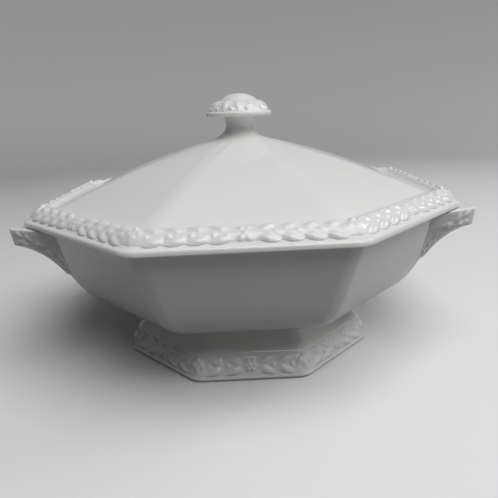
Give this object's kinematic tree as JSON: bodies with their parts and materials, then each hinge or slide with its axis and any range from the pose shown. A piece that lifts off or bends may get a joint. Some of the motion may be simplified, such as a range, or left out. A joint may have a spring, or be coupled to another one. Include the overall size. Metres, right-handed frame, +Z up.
{
  "type": "soup tureen",
  "caption": "Octagonal covered soup tureen in white glazed porcelain, on a flared foot, with lug handles and a lift-off faceted lid with a round knob.",
  "frame": {"origin": "centre of the foot on the table", "axes": "+X towards the right-hand handle, -Y towards the viewer, +Z up"},
  "size_m": [0.264, 0.25, 0.1583],
  "materials": {
    "porcelain": "clear gloss glaze over white porcelain",
    "porcelain_relief": "clear gloss glaze that pools a little in the hollows of the relief"
  },
  "bodies": {
    "dish": {"bowl": "porcelain", "foot": "porcelain", "foot_relief_band": "porcelain_relief", "handle_left": "porcelain", "handle_right": "porcelain"},
    "cover": {"lid": "porcelain", "lid_collar": "porcelain", "lid_relief_band": "porcelain_relief", "knob": "porcelain", "knob_relief_ring": "porcelain_relief"}
  },
  "joints": [
    {"name": "lid_lift", "type": "slide", "parent": "dish", "child": "cover", "axis": [0, 0, 1], "range_m": [0, 0.12]}
  ]
}
